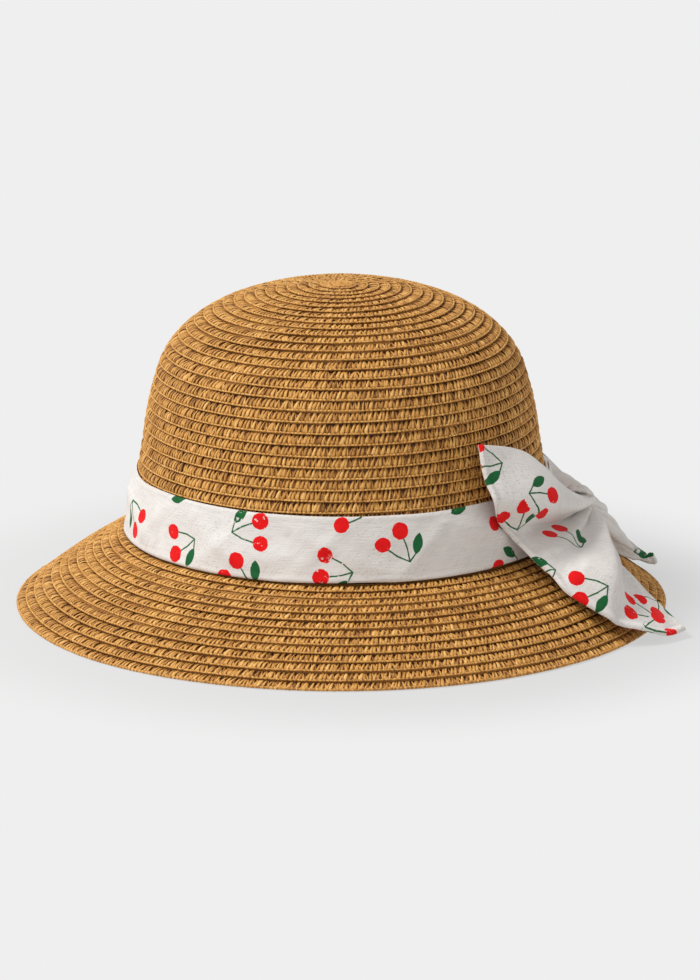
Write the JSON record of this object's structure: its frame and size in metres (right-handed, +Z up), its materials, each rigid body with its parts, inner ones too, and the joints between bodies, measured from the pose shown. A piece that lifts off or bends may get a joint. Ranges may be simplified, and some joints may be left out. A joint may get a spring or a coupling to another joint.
{
  "type": "straw sun hat",
  "caption": "Round straw sun hat with a domed crown, a sloping braided brim, a printed cotton hatband and a large soft side bow.",
  "frame": {"origin": "middle of the whole hat's footprint on the surface its brim edge rests on", "axes": "+Z up through the crown, +X towards the wearer's bow side, -Y towards the wearer's front"},
  "size_m": [0.2934, 0.2868, 0.144],
  "materials": {
    "straw_braid": "dry twisted paper-straw braid, faint sheen on the cords",
    "straw_edge": "dry twisted paper-straw, doubled edge row",
    "sweatband_cotton": "matt ribbed cotton",
    "label_satin": "plain woven satin, no lettering",
    "printed_cotton": "matt slubby off-white cotton with a small red fruit and green leaf print",
    "sewing_thread": "matt twisted thread"
  },
  "bodies": {
    "root": {"crown_tip_coil": "straw_braid", "crown_top_braid": "straw_braid", "crown_side_braid": "straw_braid", "brim_braid": "straw_braid", "brim_edge_row": "straw_edge", "sweatband": "sweatband_cotton", "sweatband_lap": "sweatband_cotton", "inner_label": "label_satin", "hatband": "printed_cotton", "hatband_lap": "printed_cotton", "bow_front_wing": "printed_cotton", "bow_rear_wing": "printed_cotton", "bow_wrap": "printed_cotton", "bow_tack_lower": "sewing_thread", "bow_tack_upper": "sewing_thread"}
  },
  "joints": []
}
